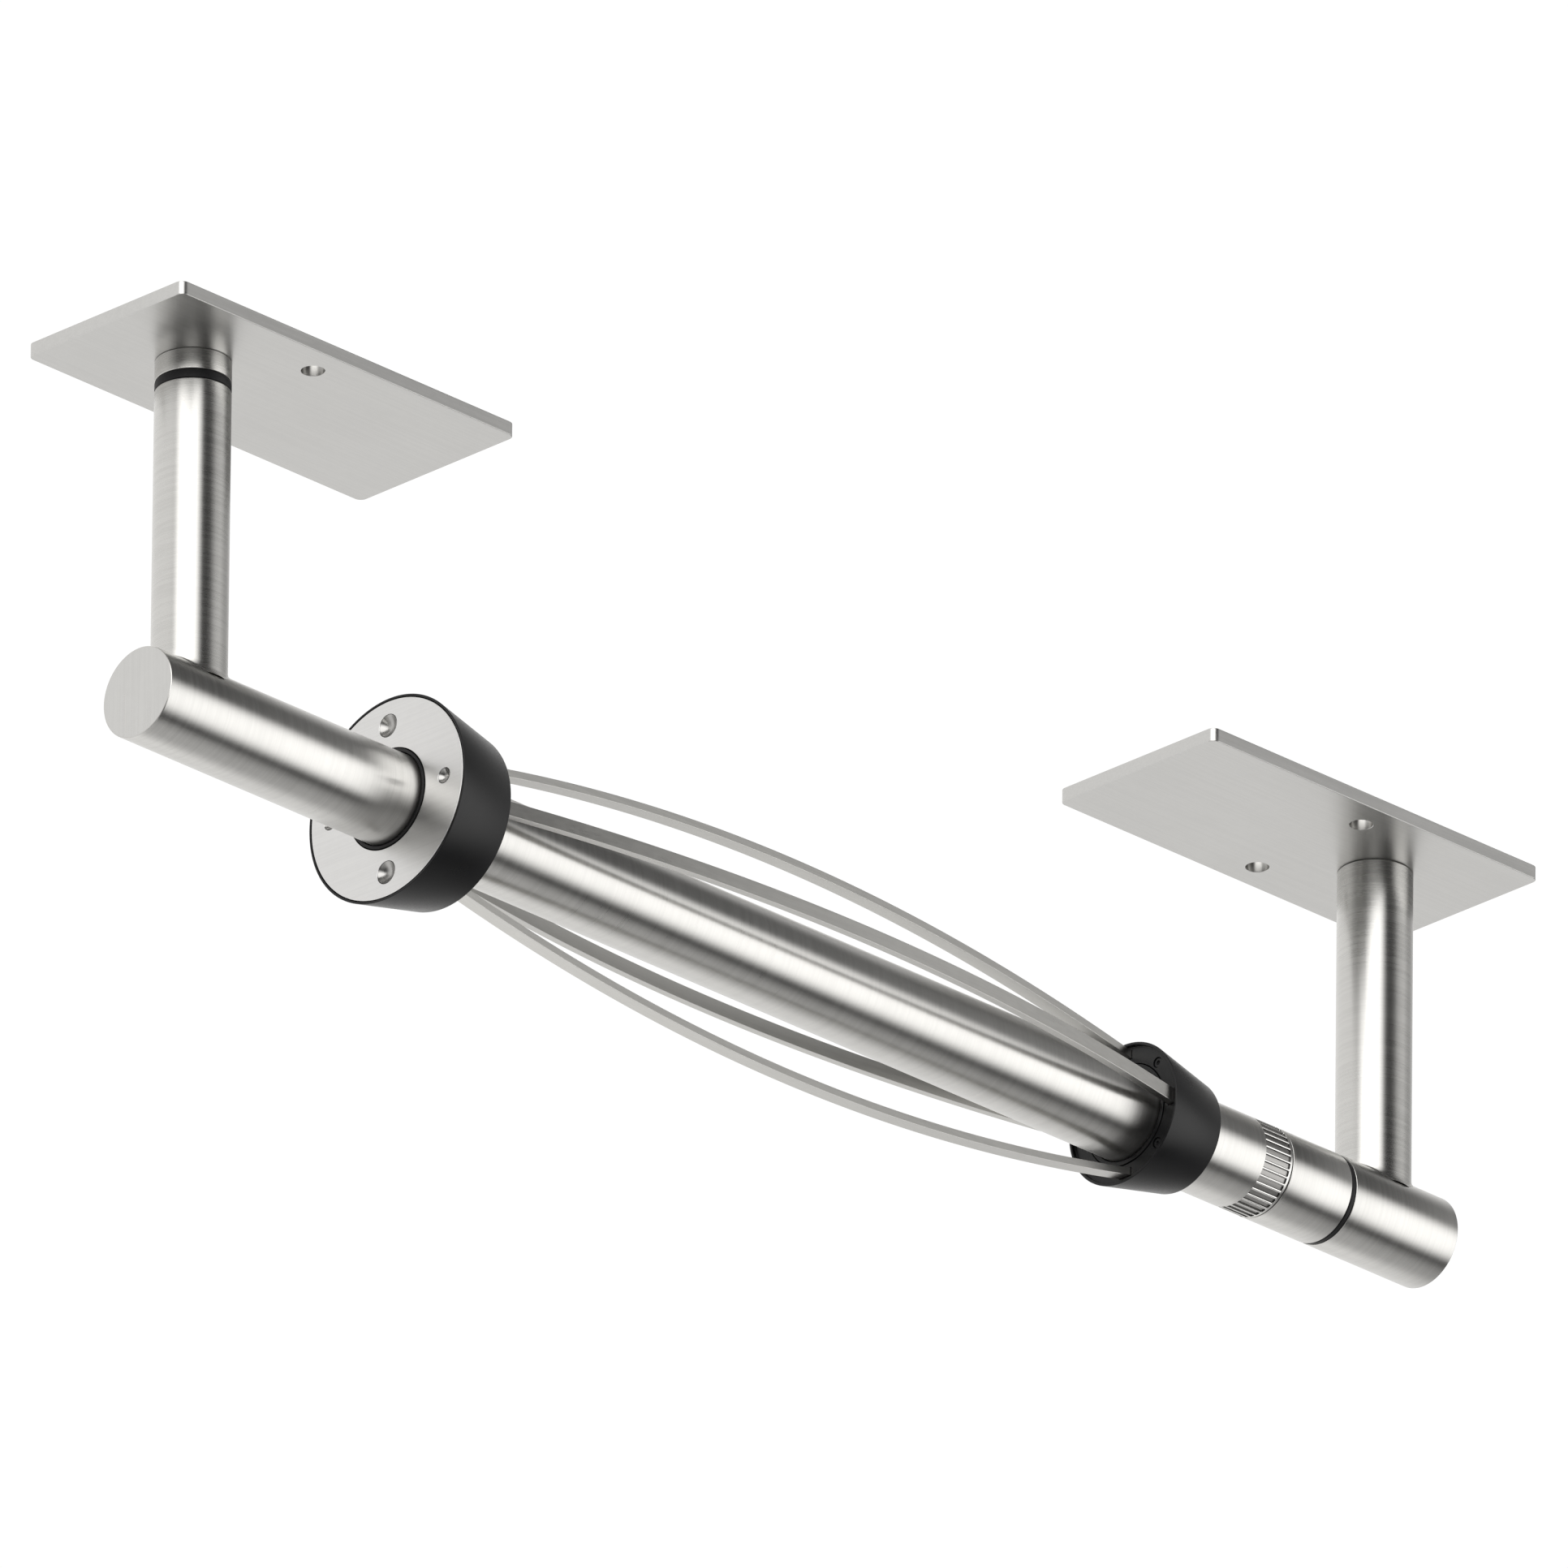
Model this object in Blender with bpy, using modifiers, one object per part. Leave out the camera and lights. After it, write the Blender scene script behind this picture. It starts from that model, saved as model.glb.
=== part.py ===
"""Under-cabinet paper towel holder: two plates and posts, a swing-out spindle with a free-running
cage of four bowed strips that grips the roll core, and a twist ring that bolts the spindle shut.
Metres, +Z up, +X along the spindle from the pivot post to the locking post.
The origin is the centre of the left plate's top face.

Every turned part is a profile of (radius, station) pairs. A station is a height for the posts
and a distance along +X for the spindle, whose parts are laid over so that local Z runs along X.
Angles round the spindle are measured from +Y towards +Z."""
import bpy
import bmesh
from math import cos, pi, radians, sin
from mathutils import Matrix, Vector

MM = 0.001

# mounting plates
PLATE_LENGTH = 120.8 * MM
PLATE_WIDTH = 56.7 * MM
PLATE_THICKNESS = 3.75 * MM
PLATE_CORNER = 2.1 * MM
PLATE_CHAMFER = 0.25 * MM
PLATE_SPACING = 376.9 * MM
HOLE_SPACING = 38.0 * MM
HOLE_SHIFT = 3.8 * MM
HOLE_RADIUS = 3.1 * MM

# posts and pivot
POST_OFFSET = 28.3 * MM
POST_RADIUS = 10.0 * MM
POST_BORE = 8.5 * MM
BAR_DROP = 99.4 * MM
BOSS_HEIGHT = 5.8 * MM
WASHER_HEIGHT = 2.6 * MM
PIVOT_RADIUS = 4.0 * MM
PIVOT_HEAD = 7.3 * MM
PIVOT_LENGTH = 34.0 * MM
POST_SCREW_RADIUS = 3.0 * MM
POST_SCREW_HEAD = 6.1 * MM
SEAT_CLEARANCE = 0.3 * MM
WELD_GAP = 0.1 * MM

LEFT_POST_X = -POST_OFFSET
RIGHT_POST_X = PLATE_SPACING + POST_OFFSET
BAR_Z = -(PLATE_THICKNESS + BAR_DROP)

# spindle, from the free end of the left stub to the locking end
TUBE_RADIUS = 12.5 * MM
TUBE_CHAMFER = 0.3 * MM
SPINDLE_BORE = 11.0 * MM
SPINDLE_START = -46.7 * MM
SPINDLE_END = 331.1 * MM
CLIP_START = 47.1 * MM
CLIP_END = 49.3 * MM
CLIP_GROOVE = 12.0 * MM
END_TUBE_START = 386.7 * MM
END_TUBE_END = 424.3 * MM
END_TUBE_BORE = 10.5 * MM
END_WALL = 2.3 * MM
SEAM_START = 385.35 * MM
SEAM_END = 386.55 * MM

# twist lock
LOCK_START = 331.4 * MM
LOCK_END = 363.0 * MM
LOCK_BORE = 9.8 * MM
FLUTE_START = 353.2 * MM
FLUTE_END = 362.1 * MM
FLUTE_COUNT = 38
FLUTE_WIDTH = 1.2 * MM
FLUTE_DEPTH = 0.45 * MM
HOUSING_START = 363.3 * MM
HOUSING_END = 385.0 * MM
GUIDE_START = 315.0 * MM
GUIDE_SHOULDER = 10.8 * MM
GUIDE_RADIUS = 9.5 * MM
GUIDE_BORE = 6.0 * MM
BOLT_RADIUS = 5.7 * MM
BOLT_START = 337.0 * MM
BOLT_END = 384.5 * MM
BOLT_TRAVEL = 7.0 * MM
PIN_RADIUS = 1.5 * MM
PIN_REACH = 10.9 * MM
PIN_X = 341.7 * MM
TRACK_FLOOR = 11.3 * MM
TRACK_HALF_WIDTH = 2.0 * MM

# left hub
HUB_FACE = 43.5 * MM
HUB_BACK = 65.0 * MM
HUB_RADIUS = 28.5 * MM
HUB_SMALL = 23.95 * MM
HUB_BORE = 12.9 * MM
FACE_RADIUS = 27.6 * MM
FACE_THICKNESS = 1.5 * MM
FACE_BORE = 13.95 * MM
BUSH_BORE = 12.8 * MM
FACE_CIRCLE = 20.8 * MM
SCREW_HEAD = 3.2 * MM
SCREW_SHANK = 1.9 * MM
PIN_HEAD = 2.15 * MM
PIN_SHANK = 1.4 * MM
FIXING_DEPTH = 9.0 * MM
FIXING_CLEARANCE = 0.2 * MM
DISH_DEPTH = 0.53

# right hub
COLLAR_FACE = 312.5 * MM
COLLAR_FLOOR = 313.7 * MM
COLLAR_BACK = 333.7 * MM
COLLAR_RADIUS = 19.75 * MM
COLLAR_SMALL = 15.35 * MM
COLLAR_RIM = 18.85 * MM
COLLAR_POCKET = 14.15 * MM
COLLAR_POCKET_END = 321.0 * MM
COLLAR_CIRCLE = 16.2 * MM

# bowed strips
STRIP_WIDTH = 4.0 * MM
STRIP_THICKNESS = 2.1 * MM
STRIP_END_RADIUS = 16.65 * MM
STRIP_PEAK_RADIUS = 30.15 * MM
STRIP_CUTS = 23
STRIP_SEAT_LEFT = 5.8 * MM
STRIP_SEAT_RIGHT = 4.2 * MM
POCKET_CLEARANCE = 0.2 * MM

ROUND = 48
SMALL = 24
SHARP = radians(32)

STEEL = ((0.62, 0.61, 0.59, 1.0), 1.0, 0.28)
BLACK = ((0.022, 0.023, 0.025, 1.0), 0.0, 0.42)
ZINC = ((0.50, 0.50, 0.48, 1.0), 1.0, 0.35)

UPRIGHT = (0.0, 0.0, 0.0)
ALONG_BAR = (0.0, pi / 2, 0.0)


class Holder:
    """The collections, and one empty for each body, on that body's joint axis."""

    def __init__(self):
        self.group = self.collection("under_cabinet_paper_towel_holder")
        self.cutters = self.collection("cutters")
        self.fixed = self.axis("fixed_frame", (0.0, 0.0, 0.0))
        self.arm = self.axis("arm_axis", (LEFT_POST_X, 0.0, BAR_Z))
        self.cage = self.axis("cage_axis", (HUB_FACE, 0.0, BAR_Z), self.arm)
        self.collar = self.axis("collar_axis", (COLLAR_FACE, 0.0, BAR_Z), self.cage)
        self.lock = self.axis("lock_axis", (FLUTE_START, 0.0, BAR_Z), self.arm)
        self.bolt = self.axis("bolt_axis", (PIN_X, 0.0, BAR_Z), self.arm)

    def collection(self, name):
        made = bpy.data.collections.new(name)
        bpy.context.scene.collection.children.link(made)
        return made

    def axis(self, name, point, parent=None):
        empty = bpy.data.objects.new(name, None)
        empty.empty_display_size = 0.01
        self.group.objects.link(empty)
        attach(empty, parent, point, UPRIGHT)
        return empty


def clear_scene():
    for item in list(bpy.data.objects):
        bpy.data.objects.remove(item, do_unlink=True)


def attach(obj, parent, point, rotation):
    """Put an object at a world point under a parent that is itself only moved, never turned."""
    offset = Vector((0.0, 0.0, 0.0))
    above = parent
    while above is not None:
        offset += above.location
        above = above.parent
    obj.parent = parent
    obj.location = Vector(point) - offset
    obj.rotation_euler = rotation


def paint(obj, finish):
    color, metallic, roughness = finish
    mat = bpy.data.materials.new(obj.name)
    mat.use_nodes = True
    shader = mat.node_tree.nodes["Principled BSDF"]
    shader.inputs["Base Color"].default_value = color
    shader.inputs["Metallic"].default_value = metallic
    shader.inputs["Roughness"].default_value = roughness
    mat.diffuse_color = color
    obj.data.materials.append(mat)


def mesh_object(name, bm, group):
    mesh = bpy.data.meshes.new(name)
    bm.to_mesh(mesh)
    bm.free()
    obj = bpy.data.objects.new(name, mesh)
    group.objects.link(obj)
    return obj


def tube(low, high, outer, inner):
    """Closed profile of a plain ring or tube."""
    return [(outer, high), (outer, low), (inner, low), (inner, high)]


def rod(low, high, radius, chamfer=0.0):
    """Open profile of a solid rod, with a chamfer at its high end."""
    side = [(radius, high - chamfer), (radius, low), (0.0, low)]
    return [(0.0, high), (radius - chamfer, high)] + side if chamfer else [(0.0, high)] + [(radius, high)] + side[1:]


def turned(holder, name, body, profile, finish, post_x=None, steps=ROUND):
    """Spin a profile; it lies along the spindle unless post_x puts it upright on a post."""
    bm = bmesh.new()
    verts = [bm.verts.new((radius, 0.0, station)) for radius, station in profile]
    for first, second in zip(verts, verts[1:]):
        bm.edges.new((first, second))
    if profile[0][0] > 0.0:
        bm.edges.new((verts[-1], verts[0]))
    obj = mesh_object(name, bm, holder.group)
    if post_x is None:
        attach(obj, body, (0.0, 0.0, BAR_Z), ALONG_BAR)
    else:
        attach(obj, body, (post_x, 0.0, 0.0), UPRIGHT)
    spin = obj.modifiers.new("spin", "SCREW")
    spin.axis = "Z"
    spin.angle = 2 * pi
    spin.steps = steps
    spin.render_steps = steps
    spin.use_merge_vertices = True
    spin.merge_threshold = 0.00001
    spin.use_smooth_shade = True
    paint(obj, finish)
    return obj


def cut(holder, target, bm):
    """Subtract a cutter whose mesh is written in the target's own space."""
    tool = mesh_object("cut_" + target.name, bm, holder.cutters)
    tool.parent = target.parent
    tool.location = target.location
    tool.rotation_euler = target.rotation_euler
    tool.hide_render = True
    tool.display_type = "WIRE"
    mod = target.modifiers.new("cut", "BOOLEAN")
    mod.operation = "DIFFERENCE"
    mod.solver = "EXACT"
    mod.object = tool


def add_cylinder(bm, centre, low, high, radius, top=None, steps=SMALL, turn=None):
    """Cylinder or cone along local Z from low to high; top is its radius at the high end."""
    matrix = Matrix.Translation((centre[0], centre[1], (low + high) / 2))
    if turn is not None:
        matrix = turn @ matrix
    bmesh.ops.create_cone(bm, cap_ends=True, segments=steps, radius1=radius,
                          radius2=radius if top is None else top, depth=high - low, matrix=matrix)


def add_box(bm, centre, size, turn=None):
    matrix = Matrix.Translation(centre) @ Matrix.Diagonal((size[0], size[1], size[2], 1.0))
    if turn is not None:
        matrix = turn @ matrix
    bmesh.ops.create_cube(bm, size=1.0, matrix=matrix)


def round_bar(angle, radius):
    """Local (x, y) of a spindle part at an angle from +Y towards +Z."""
    return (-radius * sin(angle), radius * cos(angle))


def plate(holder, name, x, post_x, shank, head):
    bm = bmesh.new()
    size = Matrix.Diagonal((PLATE_LENGTH, PLATE_WIDTH, PLATE_THICKNESS, 1.0))
    bmesh.ops.create_cube(bm, size=1.0, matrix=Matrix.Translation((0.0, 0.0, -PLATE_THICKNESS / 2)) @ size)
    upright = [e for e in bm.edges if abs(e.verts[0].co.z - e.verts[1].co.z) > PLATE_THICKNESS / 2]
    bmesh.ops.bevel(bm, geom=upright, offset=PLATE_CORNER, segments=5, profile=0.5, affect="EDGES")
    obj = mesh_object(name, bm, holder.group)
    attach(obj, holder.fixed, (x, 0.0, 0.0), UPRIGHT)
    edge = obj.modifiers.new("edge", "BEVEL")
    edge.width = PLATE_CHAMFER
    edge.segments = 1
    edge.limit_method = "ANGLE"
    edge.angle_limit = radians(60)
    side = 1.0 if post_x > x else -1.0
    low = -PLATE_THICKNESS
    holes = bmesh.new()
    for y in (-HOLE_SPACING / 2, HOLE_SPACING / 2):
        spot = (side * HOLE_SHIFT, y)
        add_cylinder(holes, spot, low - MM, MM, HOLE_RADIUS)
    seat = (post_x - x, 0.0)
    add_cylinder(holes, seat, low - MM, MM, shank, steps=32)
    cut(holder, obj, holes)
    mouth = bmesh.new()
    add_cylinder(mouth, seat, shank - head, MM, shank, head + MM, steps=32)
    cut(holder, obj, mouth)
    paint(obj, STEEL)


def post(holder, name, body, x, top):
    """Tube coped to sit on the spindle or end tube below it."""
    obj = turned(holder, name, body, tube(BAR_Z + 6 * MM, top, POST_RADIUS, POST_BORE), STEEL, x)
    saddle = bmesh.new()
    turn = Matrix.Translation((0.0, 0.0, BAR_Z)) @ Matrix.Rotation(pi / 2, 4, "Y")
    add_cylinder(saddle, (0.0, 0.0), -15 * MM, 15 * MM, TUBE_RADIUS + WELD_GAP, steps=ROUND, turn=turn)
    cut(holder, obj, saddle)


def sunk_screw(holder, name, x, radius, head, length, steps):
    """Countersunk screw with its head just under the plate's top face."""
    head -= SEAT_CLEARANCE
    top = -0.2 * MM
    land = top - 0.2 * MM
    profile = [(0.0, top), (head - 0.2 * MM, top), (head - 0.4 * MM, land),
               (radius, land - (head - 0.4 * MM - radius)), (radius, -length), (0.0, -length)]
    turned(holder, name, holder.fixed, profile, ZINC, x, steps)


def build_left_pivot(holder):
    plate(holder, "left_mount_plate", 0.0, LEFT_POST_X, PIVOT_RADIUS + SEAT_CLEARANCE, PIVOT_HEAD)
    top = -PLATE_THICKNESS - WELD_GAP
    low = -PLATE_THICKNESS - BOSS_HEIGHT
    boss = tube(low, top, POST_RADIUS, PIVOT_RADIUS + SEAT_CLEARANCE)
    turned(holder, "pivot_boss", holder.fixed, boss, STEEL, LEFT_POST_X)
    top = low - WELD_GAP
    low = low - WASHER_HEIGHT
    washer = tube(low, top, POST_RADIUS, PIVOT_RADIUS + 0.5 * MM)
    turned(holder, "pivot_washer", holder.fixed, washer, BLACK, LEFT_POST_X)
    sunk_screw(holder, "pivot_screw", LEFT_POST_X, PIVOT_RADIUS, PIVOT_HEAD, PIVOT_LENGTH, 32)
    bm = bmesh.new()
    add_cylinder(bm, (0.0, 0.0), -31.8 * MM, -26.4 * MM, 7.3 * MM, steps=6)
    nut = mesh_object("pivot_nut", bm, holder.group)
    attach(nut, holder.fixed, (LEFT_POST_X, 0.0, 0.0), UPRIGHT)
    bore = bmesh.new()
    add_cylinder(bore, (0.0, 0.0), -40 * MM, -20 * MM, PIVOT_RADIUS + 0.2 * MM, steps=32)
    cut(holder, nut, bore)
    paint(nut, ZINC)
    top = low - 0.15 * MM
    post(holder, "left_post", holder.arm, LEFT_POST_X, top)
    plug = tube(-26 * MM, top - 0.2 * MM, 8.3 * MM, PIVOT_RADIUS + 0.4 * MM)
    turned(holder, "left_post_plug", holder.arm, plug, BLACK, LEFT_POST_X, 32)


def build_right_end(holder):
    plate(holder, "right_mount_plate", PLATE_SPACING, RIGHT_POST_X,
          POST_SCREW_RADIUS + SEAT_CLEARANCE, POST_SCREW_HEAD)
    post(holder, "right_post", holder.fixed, RIGHT_POST_X, -PLATE_THICKNESS - WELD_GAP)
    plug = tube(-18 * MM, -4.3 * MM, 8.3 * MM, POST_SCREW_RADIUS + SEAT_CLEARANCE)
    turned(holder, "right_post_plug", holder.fixed, plug, ZINC, RIGHT_POST_X, 32)
    sunk_screw(holder, "right_post_screw", RIGHT_POST_X, POST_SCREW_RADIUS, POST_SCREW_HEAD, 21 * MM, SMALL)
    c = TUBE_CHAMFER
    shell = [(0.0, END_TUBE_END), (TUBE_RADIUS - c, END_TUBE_END), (TUBE_RADIUS, END_TUBE_END - c),
             (TUBE_RADIUS, END_TUBE_START), (END_TUBE_BORE, END_TUBE_START),
             (END_TUBE_BORE, END_TUBE_END - END_WALL), (0.0, END_TUBE_END - END_WALL)]
    turned(holder, "right_end_tube", holder.fixed, shell, STEEL)
    seam = tube(SEAM_START, SEAM_END, TUBE_RADIUS - 0.2 * MM, 8.5 * MM)
    turned(holder, "seam_ring", holder.fixed, seam, BLACK)
    start = END_TUBE_START + 0.2 * MM
    strike = tube(start, start + 10 * MM, 10.3 * MM, BOLT_RADIUS + 0.45 * MM)
    turned(holder, "strike_bush", holder.fixed, strike, ZINC, steps=32)


def build_arm(holder):
    c = TUBE_CHAMFER
    wall = SPINDLE_START + 2.5 * MM
    shell = [(0.0, wall), (SPINDLE_BORE, wall), (SPINDLE_BORE, SPINDLE_END), (TUBE_RADIUS, SPINDLE_END),
             (TUBE_RADIUS, CLIP_END), (CLIP_GROOVE, CLIP_END), (CLIP_GROOVE, CLIP_START),
             (TUBE_RADIUS, CLIP_START), (TUBE_RADIUS, SPINDLE_START + c), (TUBE_RADIUS - c, SPINDLE_START),
             (0.0, SPINDLE_START)]
    turned(holder, "spindle_tube", holder.arm, shell, STEEL)
    clip = tube(CLIP_START + 0.1 * MM, CLIP_END - 0.1 * MM, 14.8 * MM, CLIP_GROOVE + 0.15 * MM)
    turned(holder, "hub_retaining_ring", holder.arm, clip, ZINC)
    step = SPINDLE_END - 0.1 * MM
    end = HOUSING_END - 0.3 * MM
    core = [(GUIDE_RADIUS, end), (GUIDE_RADIUS, step), (GUIDE_SHOULDER, step), (GUIDE_SHOULDER, GUIDE_START),
            (GUIDE_BORE, GUIDE_START), (GUIDE_BORE, end)]
    guide = turned(holder, "bolt_guide", holder.arm, core, ZINC, steps=32)
    slot = bmesh.new()
    reach = PIN_RADIUS + 0.3 * MM
    add_box(slot, (0.0, 0.0, PIN_X + BOLT_TRAVEL / 2), (24 * MM, 2 * reach, BOLT_TRAVEL + 2 * reach))
    cut(holder, guide, slot)
    shell = tube(HOUSING_START, HOUSING_END, TUBE_RADIUS, GUIDE_RADIUS + 0.2 * MM)
    turned(holder, "latch_housing", holder.arm, shell, STEEL)


def add_pockets(bm, low, high):
    """Four seats for the ends of the strips."""
    size = (STRIP_THICKNESS + 2 * POCKET_CLEARANCE, STRIP_WIDTH + 2 * POCKET_CLEARANCE, high - low)
    for k in range(4):
        turn = Matrix.Rotation(k * pi / 2, 4, "Z")
        add_box(bm, (STRIP_END_RADIUS, 0.0, (low + high) / 2), size, turn)


def bow(x):
    """Radius of a strip's centre line at a station between the hubs."""
    middle = (HUB_BACK + COLLAR_FLOOR) / 2
    half = (COLLAR_FLOOR - HUB_BACK) / 2
    share = min(abs(x - middle) / half, 1.0)
    return STRIP_END_RADIUS + (STRIP_PEAK_RADIUS - STRIP_END_RADIUS) * (1.0 - share ** 2)


def strip(holder, name, angle):
    """A flat bar cut into short lengths and bent to the bow, standing over the spindle axis."""
    start = HUB_BACK - STRIP_SEAT_LEFT
    end = COLLAR_FLOOR + STRIP_SEAT_RIGHT
    bm = bmesh.new()
    add_box(bm, ((start + end) / 2, 0.0, 0.0), (end - start, STRIP_WIDTH, STRIP_THICKNESS))
    lengthwise = [e for e in bm.edges if abs(e.verts[0].co.x - e.verts[1].co.x) > MM]
    bmesh.ops.subdivide_edges(bm, edges=lengthwise, cuts=STRIP_CUTS, use_grid_fill=True)
    for vert in bm.verts:
        share = round((vert.co.x - start) / (end - start) * (STRIP_CUTS + 1))
        if 0 < share < STRIP_CUTS + 1:
            vert.co.x = HUB_BACK + (COLLAR_FLOOR - HUB_BACK) * (share - 1) / (STRIP_CUTS - 1)
        vert.co.z += bow(vert.co.x)
    obj = mesh_object(name, bm, holder.group)
    attach(obj, holder.cage, (0.0, 0.0, BAR_Z), (angle, 0.0, 0.0))
    paint(obj, STEEL)


def dished(head, shank):
    """Open profile of a fixing whose flat head has a round dish in it; DISH_DEPTH is a share of its radius."""
    top = HUB_FACE + 0.1 * MM
    under = HUB_FACE + FACE_THICKNESS - 0.1 * MM
    end = HUB_FACE + FIXING_DEPTH
    dish = [(head * k / 4, top + head * DISH_DEPTH * (1 - (k / 4) ** 2)) for k in range(4, 0, -1)]
    return [(0.0, end), (shank, end), (shank, under), (head, under)] + dish + [(0.0, top + head * DISH_DEPTH)]


def build_cage(holder):
    inner = HUB_FACE + FACE_THICKNESS + 0.3 * MM
    shoulder = CLIP_END + 0.5 * MM
    cone = [(HUB_SMALL, HUB_BACK), (HUB_RADIUS, HUB_FACE), (FACE_RADIUS + 0.25 * MM, HUB_FACE),
            (FACE_RADIUS + 0.25 * MM, inner), (15.5 * MM, inner), (15.5 * MM, shoulder),
            (HUB_BORE, shoulder), (HUB_BORE, HUB_BACK)]
    hub = turned(holder, "left_hub", holder.cage, cone, BLACK)
    disc = tube(HUB_FACE, HUB_FACE + FACE_THICKNESS, FACE_RADIUS, FACE_BORE)
    face = turned(holder, "hub_face_plate", holder.cage, disc, STEEL)
    sockets = bmesh.new()
    add_pockets(sockets, HUB_BACK - STRIP_SEAT_LEFT - 0.4 * MM, HUB_BACK + MM)
    holes = bmesh.new()
    fixings = (("face_pin_back", PIN_HEAD, PIN_SHANK), ("face_screw_top", SCREW_HEAD, SCREW_SHANK),
               ("face_pin_front", PIN_HEAD, PIN_SHANK), ("face_screw_bottom", SCREW_HEAD, SCREW_SHANK))
    for k, (name, head, shank) in enumerate(fixings):
        spot = round_bar(k * pi / 2, FACE_CIRCLE)
        add_cylinder(sockets, spot, HUB_FACE + MM / 2, HUB_FACE + FIXING_DEPTH + MM, shank, steps=16)
        add_cylinder(holes, spot, HUB_FACE - MM, HUB_FACE + 3 * MM, head, steps=SMALL)
        profile = dished(head - FIXING_CLEARANCE, shank - FIXING_CLEARANCE)
        pin = turned(holder, name, holder.cage, profile, ZINC, steps=16)
        attach(pin, holder.cage, (0.0, spot[1], BAR_Z - spot[0]), ALONG_BAR)
    cut(holder, hub, sockets)
    cut(holder, face, holes)
    lip = HUB_FACE - 0.2 * MM
    flange = HUB_FACE + FACE_THICKNESS + 0.4 * MM
    back = CLIP_START - 0.4 * MM
    bush = [(15.2 * MM, back), (15.2 * MM, flange), (FACE_BORE - 0.3 * MM, flange), (FACE_BORE - 0.3 * MM, lip),
            (BUSH_BORE, lip), (BUSH_BORE, back)]
    turned(holder, "left_bearing_bush", holder.cage, bush, BLACK)
    for k, side in enumerate(("top", "front", "bottom", "back")):
        strip(holder, "strip_" + side, k * pi / 2)


def build_collar(holder):
    cone = [(COLLAR_SMALL, COLLAR_BACK), (COLLAR_RADIUS, COLLAR_FACE), (COLLAR_RIM, COLLAR_FACE),
            (COLLAR_RIM, COLLAR_FLOOR), (COLLAR_POCKET, COLLAR_FLOOR), (COLLAR_POCKET, COLLAR_POCKET_END),
            (HUB_BORE, COLLAR_POCKET_END), (HUB_BORE, COLLAR_BACK)]
    hub = turned(holder, "right_hub", holder.collar, cone, BLACK)
    sockets = bmesh.new()
    add_pockets(sockets, COLLAR_FACE - MM, COLLAR_FLOOR + STRIP_SEAT_RIGHT + 0.4 * MM)
    for k in range(4):
        spot = round_bar(pi / 4 + k * pi / 2, COLLAR_CIRCLE)
        add_cylinder(sockets, spot, COLLAR_FACE, COLLAR_FLOOR + 4 * MM, 1.5 * MM, steps=16)
        stem = rod(COLLAR_FLOOR + 0.3 * MM, COLLAR_FLOOR + 3.8 * MM, 1.3 * MM)
        screw = turned(holder, "right_hub_screw_%d" % (k + 1), holder.collar, stem, ZINC, steps=12)
        attach(screw, holder.collar, (0.0, spot[1], BAR_Z - spot[0]), ALONG_BAR)
    cut(holder, hub, sockets)
    bush = tube(COLLAR_FLOOR - 0.2 * MM, COLLAR_POCKET_END - 0.2 * MM, COLLAR_POCKET - 0.2 * MM, BUSH_BORE)
    turned(holder, "right_bearing_bush", holder.collar, bush, BLACK)


def add_cam_track(bm, turn):
    """Helical track for one end of the cross pin: a quarter turn moves it by the bolt travel."""
    spare = radians(12)
    sweep = pi / 2 + 2 * spare
    climb = BOLT_TRAVEL * sweep / (pi / 2)
    first = PIN_X + BOLT_TRAVEL / 2 + climb / 2
    low = LOCK_BORE - 0.6 * MM
    piece = bmesh.new()
    corners = []
    for radius, rise in ((low, -1), (TRACK_FLOOR, -1), (TRACK_FLOOR, 1), (low, 1)):
        corners.append(piece.verts.new((0.0, radius, first + rise * TRACK_HALF_WIDTH)))
    loop = [piece.edges.new((corners[k], corners[(k + 1) % 4])) for k in range(4)]
    lean = Matrix.Rotation(turn - spare, 3, "Z")
    bmesh.ops.rotate(piece, verts=piece.verts, cent=(0.0, 0.0, 0.0), matrix=lean)
    steps = 14
    bmesh.ops.spin(piece, geom=corners + loop, angle=sweep, steps=steps, axis=(0.0, 0.0, 1.0),
                   cent=(0.0, 0.0, 0.0), dvec=(0.0, 0.0, -climb / steps))
    bmesh.ops.holes_fill(piece, edges=piece.edges, sides=4)
    bmesh.ops.triangulate(piece, faces=piece.faces)
    bmesh.ops.recalc_face_normals(piece, faces=piece.faces)
    mesh = bpy.data.meshes.new("track")
    piece.to_mesh(mesh)
    piece.free()
    bm.from_mesh(mesh)
    bpy.data.meshes.remove(mesh)


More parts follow.
